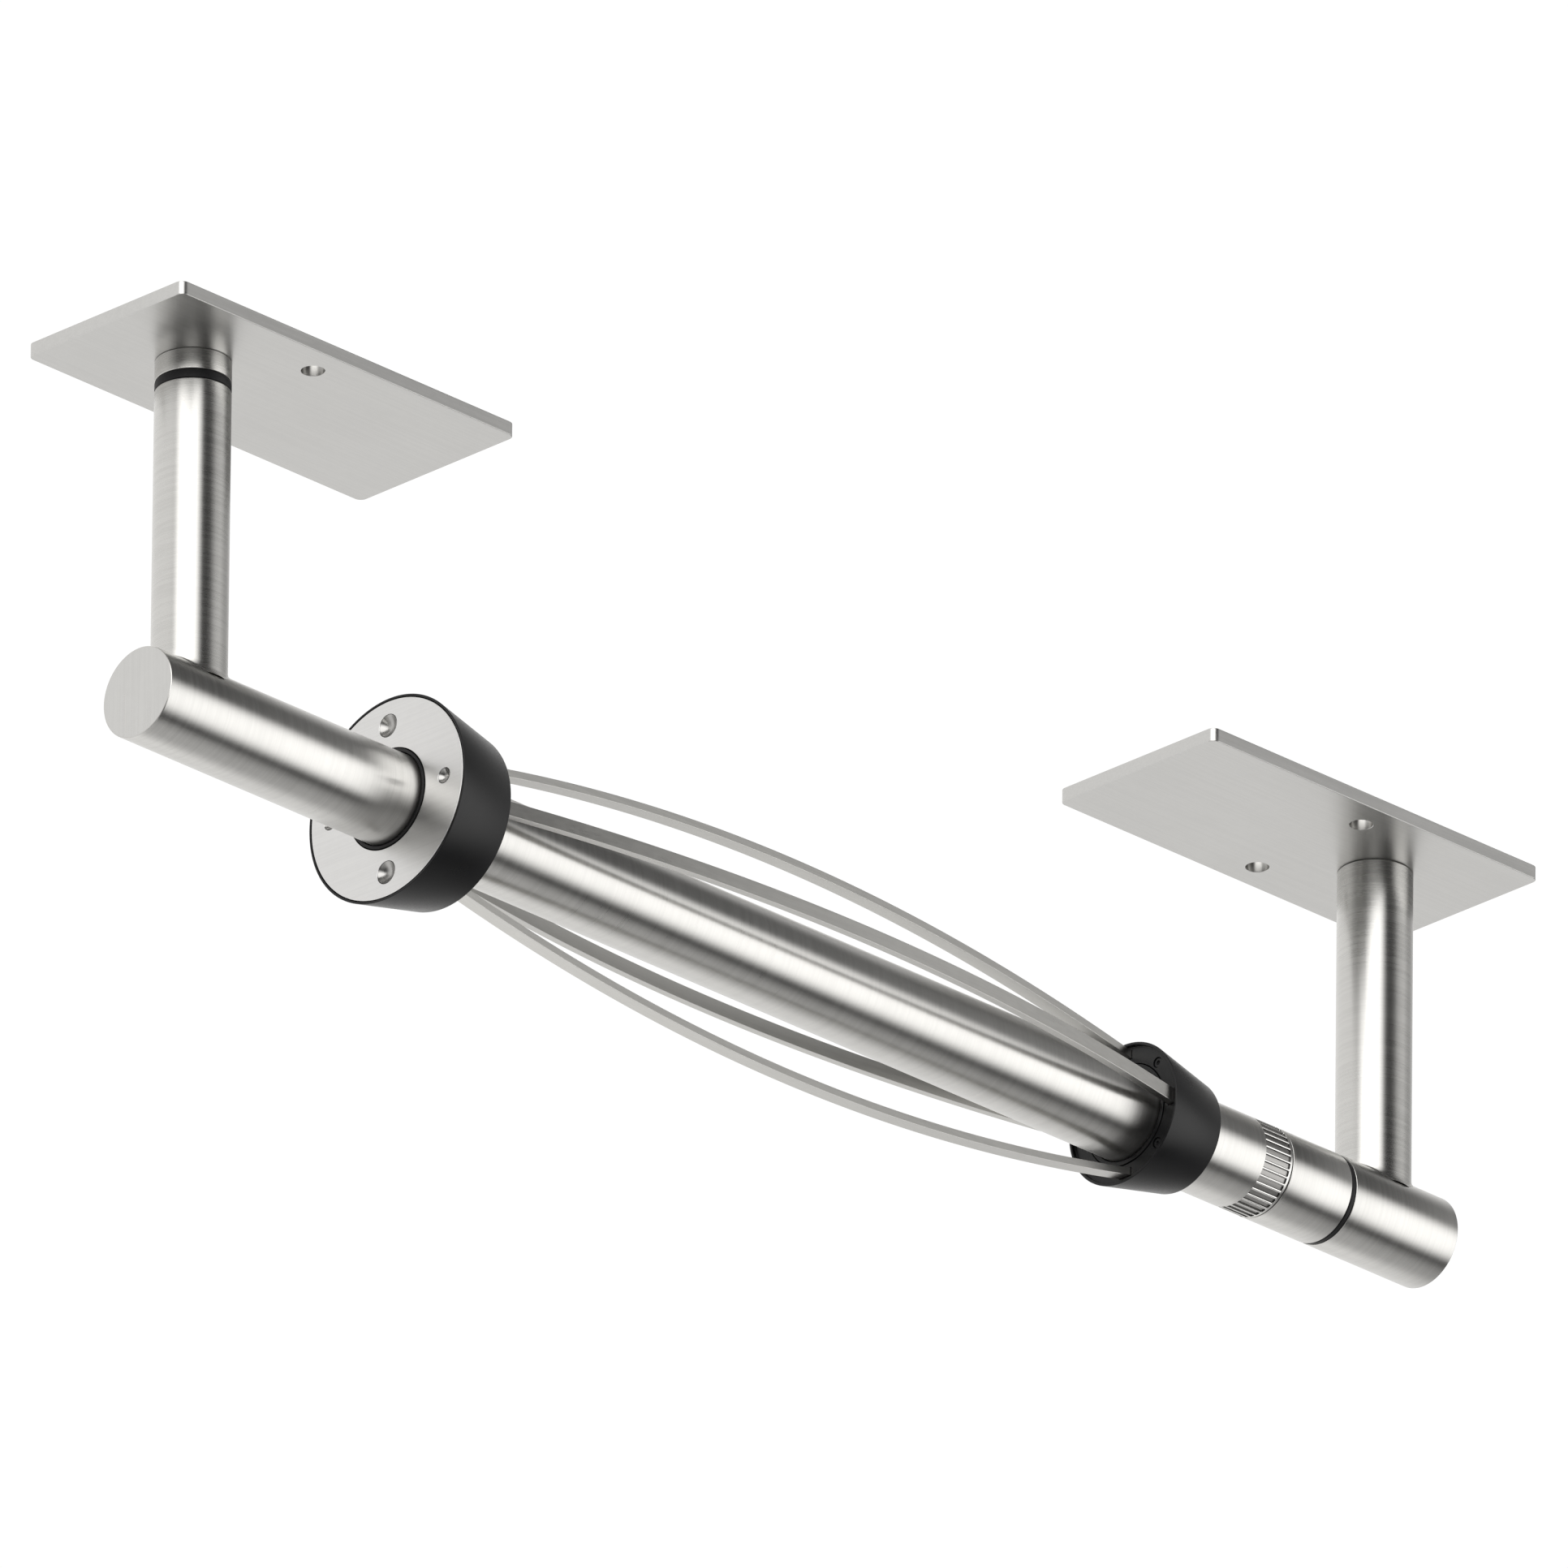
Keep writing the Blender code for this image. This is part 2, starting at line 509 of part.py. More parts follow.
def build_latch(holder):
    ring = turned(holder, "lock_ring", holder.lock, tube(LOCK_START, LOCK_END, TUBE_RADIUS, LOCK_BORE), STEEL,
                  steps=2 * FLUTE_COUNT)
    flutes = bmesh.new()
    middle = (FLUTE_START + FLUTE_END) / 2
    size = (2 * FLUTE_DEPTH, FLUTE_WIDTH, FLUTE_END - FLUTE_START)
    for k in range(FLUTE_COUNT):
        add_box(flutes, (TUBE_RADIUS, 0.0, middle), size, Matrix.Rotation((k + 0.25) * 2 * pi / FLUTE_COUNT, 4, "Z"))
    cut(holder, ring, flutes)
    tracks = bmesh.new()
    add_cam_track(tracks, 0.0)
    add_cam_track(tracks, pi)
    cut(holder, ring, tracks)
    bolt = turned(holder, "latch_bolt", holder.bolt, rod(BOLT_START, BOLT_END, BOLT_RADIUS, MM), ZINC, steps=32)
    hole = bmesh.new()
    across = Matrix.Translation((0.0, 0.0, PIN_X)) @ Matrix.Rotation(pi / 2, 4, "Y")
    add_cylinder(hole, (0.0, 0.0), -9 * MM, 9 * MM, PIN_RADIUS + 0.15 * MM, steps=20, turn=across)
    cut(holder, bolt, hole)
    pin = turned(holder, "cross_pin", holder.bolt, rod(-PIN_REACH, PIN_REACH, PIN_RADIUS), ZINC, PIN_X, 20)
    attach(pin, holder.bolt, (PIN_X, 0.0, BAR_Z), UPRIGHT)


def settle_meshes(holder):
    """Fix each part's modifiers into its mesh, then shade it smooth with crisp edges."""
    bpy.context.view_layer.update()
    graph = bpy.context.evaluated_depsgraph_get()
    parts = [obj for obj in holder.group.objects if obj.type == "MESH"]
    done = [(obj, bpy.data.meshes.new_from_object(obj.evaluated_get(graph))) for obj in parts]
    for obj, mesh in done:
        obj.modifiers.clear()
        obj.data = mesh
        mesh.name = obj.name
        mesh.shade_smooth()
        mesh.set_sharp_from_angle(angle=SHARP)


def main():
    clear_scene()
    holder = Holder()
    build_left_pivot(holder)
    build_right_end(holder)
    build_arm(holder)
    build_cage(holder)
    build_collar(holder)
    build_latch(holder)
    settle_meshes(holder)


main()
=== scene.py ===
"""Looks for the under-cabinet paper towel holder, in metres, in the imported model's frame.

+X runs along the spindle, +Z up into the cabinet, and angles round the spindle go from +Y to +Z."""
from math import cos, pi, radians, sin, sqrt

import bmesh
import bpy
from mathutils import Matrix, Vector


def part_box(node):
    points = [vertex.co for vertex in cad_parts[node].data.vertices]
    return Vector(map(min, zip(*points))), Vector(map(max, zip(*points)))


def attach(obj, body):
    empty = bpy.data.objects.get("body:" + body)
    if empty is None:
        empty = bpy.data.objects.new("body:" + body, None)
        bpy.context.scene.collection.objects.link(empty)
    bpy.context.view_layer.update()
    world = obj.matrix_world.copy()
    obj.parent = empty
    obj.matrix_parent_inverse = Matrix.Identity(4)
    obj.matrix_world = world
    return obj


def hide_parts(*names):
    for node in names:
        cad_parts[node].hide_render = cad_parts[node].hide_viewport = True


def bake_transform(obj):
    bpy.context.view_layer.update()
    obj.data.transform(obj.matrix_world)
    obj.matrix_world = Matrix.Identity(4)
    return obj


MM = 0.001
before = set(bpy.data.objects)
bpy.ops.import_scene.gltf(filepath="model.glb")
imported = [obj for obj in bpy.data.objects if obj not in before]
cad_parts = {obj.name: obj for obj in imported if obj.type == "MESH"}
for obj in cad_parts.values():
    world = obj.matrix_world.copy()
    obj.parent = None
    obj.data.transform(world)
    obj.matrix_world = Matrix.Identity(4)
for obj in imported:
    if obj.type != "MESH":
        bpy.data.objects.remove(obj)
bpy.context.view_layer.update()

# the axes and radii that every piece is built from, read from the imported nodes
tube_lo, tube_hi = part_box("spindle_tube")
post_lo, post_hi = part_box("left_post")
right_lo, right_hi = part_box("right_post")
BAR_Z = (tube_lo.z + tube_hi.z) / 2
TUBE_R = (tube_hi.y - tube_lo.y) / 2
POST_R = (post_hi.x - post_lo.x) / 2
LEFT_X = (post_lo.x + post_hi.x) / 2
RIGHT_X = (right_lo.x + right_hi.x) / 2
ROUND = 160  # points round a full-size piece
SMALL_ROUND = 64  # points round a hole or a fixing
SHARP = 14.0  # degrees: tubes stay smooth, and every bevel facet stays crisp
SQUARE_ON = 0.9999  # how squarely a face must look along an axis to be shaded flat
ON_AXIS = 1e-7  # metres: a profile point nearer the axis than this is a single vertex
LEAST_EASE = 1e-6  # metres: an ease smaller than this leaves the corner sharp
EASE_SHARE = 0.45  # the most of a neighbouring side that an ease may take up
EASE_STEPS = 3
NEAR = 0.01 * MM  # a face nearer than this to a surface belongs to it


# ---------------------------------------------------------------- mesh helpers

def shade(mesh, flat_along, flat_area=0.0):
    """Smooth shading with sharp edges, and true flats wherever a face looks along a listed axis."""
    mesh.shade_smooth()
    mesh.set_sharp_from_angle(angle=radians(SHARP))
    for face in mesh.polygons:
        square = any(abs(face.normal["XYZ".index(axis)]) > SQUARE_ON for axis in flat_along)
        if square and face.area >= flat_area:
            face.use_smooth = False


def link_mesh(name, bm):
    bmesh.ops.recalc_face_normals(bm, faces=bm.faces)
    mesh = bpy.data.meshes.new(name)
    bm.to_mesh(mesh)
    bm.free()
    obj = bpy.data.objects.new(name, mesh)
    bpy.context.scene.collection.objects.link(obj)
    return obj


def finish_mesh(name, bm, flat_along=""):
    obj = link_mesh(name, bm)
    shade(obj.data, flat_along)
    return obj


def eased(points, size):
    """Round each corner of a closed profile: points are (station, radius, ease factor)."""
    out = []
    count = len(points)
    for k, (a, r, factor) in enumerate(points):
        here = Vector((a, r))
        before = Vector(points[k - 1][:2]) - here
        after = Vector(points[(k + 1) % count][:2]) - here
        reach = min(size * factor, before.length * EASE_SHARE, after.length * EASE_SHARE)
        if reach < LEAST_EASE:
            out.append((a, r))
            continue
        first = here + before.normalized() * reach
        last = here + after.normalized() * reach
        for s in range(EASE_STEPS + 1):
            t = s / EASE_STEPS
            out.append(tuple(first * (1 - t) ** 2 + here * (2 * t * (1 - t)) + last * t ** 2))
    return out


def spun(points, axis, centre, count=ROUND):
    """Turn a closed (station, radius) profile about an X or Z axis; radius 0 makes a pole."""
    bm = bmesh.new()
    rings = []
    for a, r in points:
        if r < ON_AXIS:
            spot = (a, centre[0], centre[1]) if axis == "X" else (centre[0], centre[1], a)
            rings.append([bm.verts.new(spot)])
            continue
        ring = []
        for k in range(count):
            t = 2 * pi * k / count
            if axis == "X":
                ring.append(bm.verts.new((a, centre[0] + r * cos(t), centre[1] + r * sin(t))))
            else:
                ring.append(bm.verts.new((centre[0] + r * cos(t), centre[1] + r * sin(t), a)))
        rings.append(ring)
    for first, second in zip(rings, rings[1:] + rings[:1]):
        if len(first) == 1 and len(second) == 1:
            continue
        for k in range(count):
            n = (k + 1) % count
            corners = [first[k % len(first)], first[n % len(first)]]
            corners += [second[n % len(second)], second[k % len(second)]]
            bm.faces.new(list(dict.fromkeys(corners)))
    return bm


def bridge(bm, loops):
    """Faces between each closed loop of vertices and the next; all loops have the same count."""
    for first, second in zip(loops, loops[1:]):
        for k in range(len(first)):
            n = (k + 1) % len(first)
            bm.faces.new((first[k], first[n], second[n], second[k]))


def turned(name, points, axis="X", centre=(0.0, BAR_Z), ease=0.25 * MM, count=ROUND):
    """A turned piece from (station, radius) points; a third number scales that corner's ease."""
    full = [(p[0], p[1], p[2] if len(p) > 2 else 1.0) for p in points]
    full = [(a, r, 0.0 if r < ON_AXIS else factor) for a, r, factor in full]
    return finish_mesh(name, spun(eased(full, ease), axis, centre, count), flat_along=axis)


def tube(low, high, outer, inner):
    return [(low, outer), (high, outer), (high, inner), (low, inner)]


def rod(low, high, radius):
    return [(low, 0.0), (low, radius), (high, radius), (high, 0.0)]


def carve(obj, cutters, flat_along, flat_area=0.0):
    """Subtract the cutters' mesh, keep the plain result, and remove the cutter."""
    tool = link_mesh("cutter", cutters)
    mod = obj.modifiers.new("cut", "BOOLEAN")
    mod.operation = "DIFFERENCE"
    mod.solver = "EXACT"
    mod.object = tool
    bpy.context.view_layer.update()
    graph = bpy.context.evaluated_depsgraph_get()
    obj.data = bpy.data.meshes.new_from_object(obj.evaluated_get(graph))
    obj.modifiers.clear()
    bpy.data.objects.remove(tool)
    shade(obj.data, flat_along, flat_area)


def merge(parts):
    bm = bmesh.new()
    for part in parts:
        mesh = bpy.data.meshes.new("part")
        part.to_mesh(mesh)
        part.free()
        bm.from_mesh(mesh)
        bpy.data.meshes.remove(mesh)
    return bm


# ---------------------------------------------------------------- materials

GRAIN_HEIGHT = 0.00003  # metres

class Nodes:
    """A short way to write a node tree."""

    def __init__(self, tree):
        self.tree = tree

    def new(self, kind, **values):
        node = self.tree.nodes.new(kind)
        for key, value in values.items():
            setattr(node, key, value)
        return node

    def link(self, out, into):
        self.tree.links.new(out, into)

    def put(self, socket, value):
        if isinstance(value, bpy.types.NodeSocket):
            self.link(value, socket)
        else:
            socket.default_value = value

    def math(self, op, a, b=0.0, clamp=False):
        node = self.new("ShaderNodeMath", operation=op, use_clamp=clamp)
        self.put(node.inputs[0], a)
        self.put(node.inputs[1], b)
        return node.outputs[0]

    def ramp(self, value, *stops):
        node = self.new("ShaderNodeMapRange", interpolation_type="SMOOTHSTEP")
        self.put(node.inputs["Value"], value)
        for key, number in zip(("From Min", "From Max", "To Min", "To Max"), stops):
            node.inputs[key].default_value = number
        return node.outputs["Result"]

    def mix(self, factor, a, b):
        """Inputs 6 and 7 and output 2 are the Mix node's colour sockets."""
        node = self.new("ShaderNodeMix", data_type="RGBA")
        self.put(node.inputs["Factor"], factor)
        self.put(node.inputs[6], a)
        self.put(node.inputs[7], b)
        return node.outputs[2]

    def coords(self, scale, move=(0.0, 0.0, 0.0)):
        source = self.new("ShaderNodeTexCoord")
        node = self.new("ShaderNodeMapping")
        node.inputs["Scale"].default_value = scale
        node.inputs["Location"].default_value = move
        self.link(source.outputs["Object"], node.inputs["Vector"])
        return node.outputs["Vector"]

    def noise(self, vector, detail=2.0, rough=0.5):
        node = self.new("ShaderNodeTexNoise")
        self.link(vector, node.inputs["Vector"])
        node.inputs["Scale"].default_value = 1.0
        node.inputs["Detail"].default_value = detail
        node.inputs["Roughness"].default_value = rough
        return node.outputs["Fac"]

    def bump(self, height, strength):
        node = self.new("ShaderNodeBump")
        node.inputs["Strength"].default_value = strength
        node.inputs["Distance"].default_value = GRAIN_HEIGHT
        self.link(height, node.inputs["Height"])
        return node.outputs["Normal"]


class Surface(Nodes):
    """A material with one Principled shader."""

    def __init__(self, name):
        self.mat = bpy.data.materials.new(name)
        self.mat.use_nodes = True
        super().__init__(self.mat.node_tree)
        self.shader = self.tree.nodes["Principled BSDF"]


def toned(tone, factor):
    """The same colour made darker or lighter, never past white."""
    return tuple(min(c * factor, 1.0) for c in tone[:3]) + (1.0,)


def brushed_round(name, axis, tone=(0.60, 0.595, 0.578, 1.0), rough=0.27, grain=1.0):
    """Steel turned and brushed round its axis: short fine scratches that run round the tube."""
    n = Surface(name)

    def scratches(fine, slow, move, rough_noise):
        scale = (fine, slow, slow) if axis == "X" else (slow, slow, fine)
        return n.noise(n.coords(scale, move), 2.0, rough_noise)

    hair = scratches(1900.0, 30.0, (0.0, 0.0, 0.0), 0.6)
    band = scratches(900.0, 45.0, (3.1, 1.7, 5.3), 0.5)
    cloud = n.noise(n.coords((22.0, 22.0, 22.0), (7.0, 2.0, 4.0)))
    both = n.math("MULTIPLY", n.math("ADD", hair, band), 0.5)
    colour = n.mix(n.ramp(both, 0.36, 0.64, 0.0, 1.0), toned(tone, 0.95), toned(tone, 1.04))
    n.put(n.shader.inputs["Base Color"], colour)
    streak = n.ramp(both, 0.35, 0.65, rough - 0.015, rough + 0.015)
    spread = n.ramp(cloud, 0.3, 0.7, -0.012, 0.012)
    n.put(n.shader.inputs["Roughness"], n.math("ADD", streak, spread, True))
    n.put(n.shader.inputs["Normal"], n.bump(both, 0.05 * grain))
    n.shader.inputs["Metallic"].default_value = 1.0
    n.shader.inputs["Anisotropic"].default_value = 0.55
    n.shader.inputs["Anisotropic Rotation"].default_value = 0.25
    tangent = n.new("ShaderNodeTangent", direction_type="RADIAL", axis=axis)
    n.link(tangent.outputs["Tangent"], n.shader.inputs["Tangent"])
    return n.mat


def satin_flat(name, tone=(0.58, 0.577, 0.565, 1.0), rough=0.26, along="X", grain=1.0):
    """Flat satin steel: a very fine directional grain over faint clouding."""
    n = Surface(name)
    scales = {"X": (25.0, 1400.0, 1400.0), "Y": (1400.0, 25.0, 1400.0), "Z": (1400.0, 1400.0, 25.0)}
    hair = n.noise(n.coords(scales[along]), 3.0, 0.6)
    speck = n.noise(n.coords((350.0, 350.0, 350.0), (1.0, 4.0, 2.0)))
    cloud = n.noise(n.coords((30.0, 30.0, 30.0), (4.0, 1.0, 8.0)), 3.0, 0.55)
    both = n.math("ADD", n.math("MULTIPLY", hair, 0.8), n.math("MULTIPLY", speck, 0.2))
    colour = n.mix(n.ramp(both, 0.38, 0.62, 0.0, 1.0), toned(tone, 0.975), toned(tone, 1.02))
    n.put(n.shader.inputs["Base Color"], colour)
    base = n.ramp(both, 0.35, 0.65, rough - 0.015, rough + 0.015)
    spread = n.ramp(cloud, 0.3, 0.7, -0.015, 0.015)
    n.put(n.shader.inputs["Roughness"], n.math("ADD", base, spread, True))
    n.put(n.shader.inputs["Normal"], n.bump(hair, 0.012 * grain))
    n.shader.inputs["Metallic"].default_value = 1.0
    return n.mat


def satin_black(name, tone=(0.008, 0.0082, 0.009, 1.0), rough=0.32):
    """Satin black moulding: a very fine sparkle and soft clouding in the sheen."""
    n = Surface(name)
    speck = n.noise(n.coords((2400.0, 2400.0, 2400.0)))
    cloud = n.noise(n.coords((55.0, 55.0, 55.0), (2.0, 6.0, 1.0)), 3.0, 0.55)
    colour = n.mix(n.ramp(cloud, 0.3, 0.7, 0.0, 1.0), toned(tone, 0.88), toned(tone, 1.15))
    n.put(n.shader.inputs["Base Color"], colour)
    base = n.ramp(speck, 0.35, 0.65, rough - 0.03, rough + 0.03)
    spread = n.ramp(cloud, 0.3, 0.7, -0.02, 0.02)
    n.put(n.shader.inputs["Roughness"], n.math("ADD", base, spread, True))
    n.put(n.shader.inputs["Normal"], n.bump(speck, 0.05))
    n.shader.inputs["Specular IOR Level"].default_value = 0.25
    return n.mat


STEEL_X = brushed_round("brushed_steel_spindle", "X", rough=0.30, grain=0.8)
STEEL_Z = brushed_round("brushed_steel_post", "Z", rough=0.28, grain=0.8)
# a lighter copy of the spindle steel for the lock ring's ridges: a painted highlight that keeps each ridge a
# bright line
RIDGE_HIGHLIGHT_STEEL = brushed_round("lock_ring_ridge_painted_highlight", "X", (0.74, 0.735, 0.72, 1.0), 0.27, 0.6)
END_STEEL = satin_flat("satin_tube_end", (0.60, 0.597, 0.585, 1.0), 0.30, "Z")
PLATE_STEEL = satin_flat("satin_plate_steel", rough=0.31, grain=0.5)
FACE_STEEL = satin_flat("satin_steel_face", (0.70, 0.697, 0.69, 1.0), 0.33, "Y")
STRIP_STEEL = satin_flat("spring_strip_steel", (0.56, 0.555, 0.535, 1.0), 0.30, "X", 0.3)
# the plate holes' walls: brushed round like a reamed bore, and darker than the plate as painted shade inside
# the holes
HOLE_SHADE_STEEL = brushed_round("reamed_hole_steel_painted_shade", "Z", (0.46, 0.455, 0.44, 1.0), 0.33, 0.4)
# the pockets' floors: rougher steel, and darker as painted shade in the recesses
POCKET_SHADE_STEEL = satin_flat("flute_pocket_painted_shade", (0.38, 0.375, 0.365, 1.0), 0.38, "Z")
# the pockets' walls: near-black steel, a painted shadow line round each pocket
POCKET_WALL_SHADE = satin_flat("flute_wall_painted_shade", (0.10, 0.098, 0.095, 1.0), 0.45, "Z")
HARDWARE = brushed_round("turned_hardware", "X", (0.43, 0.425, 0.415, 1.0), 0.28, 0.4)
UPRIGHT_HARDWARE = brushed_round("turned_pivot_hardware", "Z", (0.52, 0.515, 0.50, 1.0), 0.28)
BLACK = satin_black("satin_black_hub")
SEAL = satin_black("black_seal", (0.012, 0.012, 0.013, 1.0), 0.45)


def dress(obj, mat):
    obj.data.materials.clear()
    obj.data.materials.append(mat)


def place(obj, body, mat, slot, *nodes):
    dress(obj, mat)
    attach(obj, body)
    if nodes:
        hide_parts(*nodes)
    return obj


# ---------------------------------------------------------------- plates and posts

CORNER_STEPS = 10
PLATE_CORNER = 2.1 * MM
PLATE_EDGE = 0.15 * MM
LEAST_FLAT = 5e-6  # square metres: smaller faces of a plate keep their smooth shading
HOLE_R = 3.1 * MM
HOLE_RIM = 0.1 * MM  # the small chamfer at both ends of a hole
HOLE_FLARE = 1.1 * MM  # how much wider the cutter is, 1 mm outside the plate
HOLE_OUT = 19.0 * MM  # from the plate's long centre line to each hole
HOLE_SHIFT = 3.8 * MM  # of both holes, from the plate's middle towards its post
SEAT_DEPTH = 3.0 * MM  # of the 45 degree seat for the screw above a post


def rounded_outline(low, high, corner, inset):
    points = []
    cx, cy = (low.x + high.x) / 2, (low.y + high.y) / 2
    hx, hy = (high.x - low.x) / 2 - corner, (high.y - low.y) / 2 - corner
    r = corner - inset
    for sx, sy, first in ((1, 1, 0), (-1, 1, 90), (-1, -1, 180), (1, -1, 270)):
        for k in range(CORNER_STEPS + 1):
            a = radians(first + 90 * k / CORNER_STEPS)
            points.append((cx + sx * hx + r * cos(a), cy + sy * hy + r * sin(a)))
    return points


def plate(name, node, post_x, seat_radius):
    """A rectangle with rounded corners and eased edges, two plain holes and a screw seat."""
    low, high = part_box(node)
    arc = [(PLATE_EDGE * (1 - cos(pi / 6 * k)), PLATE_EDGE * (1 - sin(pi / 6 * k))) for k in range(4)]
    levels = [(high.z - drop, inset) for drop, inset in arc]
    levels += [(low.z + rise, inset) for rise, inset in arc[::-1]]
    bm = bmesh.new()
    loops = []
    for z, inset in levels:
        outline = rounded_outline(low, high, PLATE_CORNER, inset)
        loops.append([bm.verts.new((x, y, z)) for x, y in outline])
    bridge(bm, loops)
    bm.faces.new(loops[0])
    bm.faces.new(loops[-1])
    obj = finish_mesh(name, bm)

    middle = (low.x + high.x) / 2
    side = 1.0 if post_x > middle else -1.0
    hole_x = middle + side * HOLE_SHIFT
    hole = [(low.z - MM, 0.0), (low.z - MM, HOLE_R + HOLE_FLARE), (low.z + HOLE_RIM, HOLE_R),
            (high.z - HOLE_RIM, HOLE_R), (high.z + MM, HOLE_R + HOLE_FLARE), (high.z + MM, 0.0)]
    cutters = [spun(hole, "Z", (hole_x, y), SMALL_ROUND) for y in (-HOLE_OUT, HOLE_OUT)]
    shank = seat_radius - SEAT_DEPTH
    seat = [(low.z - MM, 0.0), (low.z - MM, shank), (high.z - SEAT_DEPTH, shank),
            (high.z, seat_radius), (high.z + MM, seat_radius + MM), (high.z + MM, 0.0)]
    cutters.append(spun(seat, "Z", (post_x, 0.0), SMALL_ROUND))
    carve(obj, merge(cutters), "XYZ", LEAST_FLAT)

    place(obj, "fixed_brackets", PLATE_STEEL, "satin_steel", node)
    # the walls of both holes take the darker steel: painted shade in the holes
    obj.data.materials.append(HOLE_SHADE_STEEL)
    for face in obj.data.polygons:
        away = sqrt((face.center.x - hole_x) ** 2 + (abs(face.center.y) - HOLE_OUT) ** 2)
        if away < HOLE_R + NEAR:
            face.material_index = 1


plate("left_ceiling_plate", "left_mount_plate", LEFT_X, 7.3 * MM)
plate("right_ceiling_plate", "right_mount_plate", RIGHT_X, 6.1 * MM)

POST_ROUND = 144
POST_WALL = 1.5 * MM
POST_EASE = 0.3 * MM
FOOT_GAP = 0.02 * MM  # between a post's foot and the tube below it
FOOT_HALF = 9.9 * MM  # the weld's outer edge follows the tube no further out than this


def post_mesh(name, node, x):
    """The post's foot follows the tube below it, with a small weld fillet round the joint."""
    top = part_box(node)[1].z
    bm = bmesh.new()
    reach = TUBE_R + FOOT_GAP
    inner = POST_R - POST_WALL

    def ring(radius, height):
        made = []
        for k in range(POST_ROUND):
            t = 2 * pi * k / POST_ROUND
            px, py = radius * cos(t), radius * sin(t)
            made.append(bm.verts.new((x + px, py, height(py))))
        return made

    def saddle(py, lift=0.0):
        return BAR_Z + sqrt(max(reach ** 2 - py ** 2, 0.0)) + lift

    loops = [
        ring(inner, lambda y: top),
        ring(POST_R - POST_EASE, lambda y: top),
        ring(POST_R - POST_EASE * 0.3, lambda y: top - POST_EASE * 0.3),
        ring(POST_R, lambda y: top - POST_EASE),
        ring(POST_R, lambda y: top - 1.5 * MM),
        ring(POST_R, lambda y: saddle(y, 2.0 * MM)),
        ring(POST_R, lambda y: saddle(y, 0.9 * MM)),
        ring(POST_R + 0.10 * MM, lambda y: saddle(y, 0.35 * MM)),
        ring(POST_R + 0.45 * MM, lambda y: saddle(min(max(y, -FOOT_HALF), FOOT_HALF))),
        ring(inner, saddle),
    ]
    bridge(bm, loops + loops[:1])
    return finish_mesh(name, bm, flat_along="Z")


place(post_mesh("swing_post", "left_post", LEFT_X), "swing_arm", STEEL_Z, "satin_steel", "left_post")
place(post_mesh("fixed_post", "right_post", RIGHT_X), "fixed_brackets", STEEL_Z, "satin_steel", "right_post")

BOSS_BORE = 4.3 * MM
SWIVEL_BORE = 4.5 * MM
SWIVEL_R = POST_R - 0.02 * MM
boss_lo, boss_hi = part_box("pivot_boss")
boss = [(boss_hi.z, POST_R, 0.25), (boss_lo.z, POST_R), (boss_lo.z, BOSS_BORE), (boss_hi.z, BOSS_BORE)]
place(turned("swivel_boss", boss, "Z", (LEFT_X, 0.0), 0.3 * MM), "fixed_brackets", STEEL_Z, "satin_steel",
      "pivot_boss")
swivel_lo, swivel_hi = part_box("pivot_washer")
swivel = [(swivel_hi.z, SWIVEL_R), (swivel_lo.z, SWIVEL_R), (swivel_lo.z, SWIVEL_BORE),
          (swivel_hi.z, SWIVEL_BORE)]
place(turned("swivel_ring", swivel, "Z", (LEFT_X, 0.0), 0.35 * MM), "fixed_brackets", SEAL, "black_plastic",
      "pivot_washer")

# ---------------------------------------------------------------- spindle tubes

SPINDLE_BORE, SPINDLE_CAP = 11.0 * MM, 2.5 * MM
STUB_BORE, STUB_CAP = 10.5 * MM, 2.3 * MM
SLEEVE_BORE = 9.7 * MM
SEAM_R, SEAM_BORE = TUBE_R - 0.12 * MM, 8.5 * MM
END_EASE = 1.6  # the tubes' closed ends are eased this much more than their other corners
GROOVE_R = TUBE_R - 0.5 * MM
GROOVE_PLAY = 0.1 * MM

clip_lo, clip_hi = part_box("hub_retaining_ring")
groove_a, groove_b = clip_lo.x - GROOVE_PLAY, clip_hi.x + GROOVE_PLAY
spindle = [(tube_lo.x, 0.0), (tube_lo.x, TUBE_R, END_EASE), (groove_a, TUBE_R), (groove_a, GROOVE_R),
           (groove_b, GROOVE_R), (groove_b, TUBE_R), (tube_hi.x, TUBE_R), (tube_hi.x, SPINDLE_BORE),
           (tube_lo.x + SPINDLE_CAP, SPINDLE_BORE), (tube_lo.x + SPINDLE_CAP, 0.0)]
spindle_tube = place(turned("spindle", spindle), "swing_arm", STEEL_X, "satin_steel", "spindle_tube")

sleeve_lo, sleeve_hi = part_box("latch_housing")
sleeve = tube(sleeve_lo.x, sleeve_hi.x, TUBE_R, SLEEVE_BORE)
place(turned("latch_sleeve", sleeve), "swing_arm", STEEL_X, "satin_steel", "latch_housing")

end_lo, end_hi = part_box("right_end_tube")
stub = [(end_lo.x, TUBE_R), (end_hi.x, TUBE_R, END_EASE), (end_hi.x, 0.0), (end_hi.x - STUB_CAP, 0.0),
        (end_hi.x - STUB_CAP, STUB_BORE), (end_lo.x, STUB_BORE)]
end_tube = place(turned("locking_stub", stub), "fixed_brackets", STEEL_X, "satin_steel", "right_end_tube")
for tube_piece, end_x in ((spindle_tube, tube_lo.x), (end_tube, end_hi.x)):
    tube_piece.data.materials.append(END_STEEL)
    for face in tube_piece.data.polygons:
        if abs(face.center.x - end_x) < NEAR:
            face.material_index = 1

seam_lo, seam_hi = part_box("seam_ring")
seam = tube(seam_lo.x, seam_hi.x, SEAM_R, SEAM_BORE)
place(turned("seam_gasket", seam, ease=0.3 * MM), "fixed_brackets", SEAL, "black_plastic", "seam_ring")


# ---------------------------------------------------------------- twist lock ring

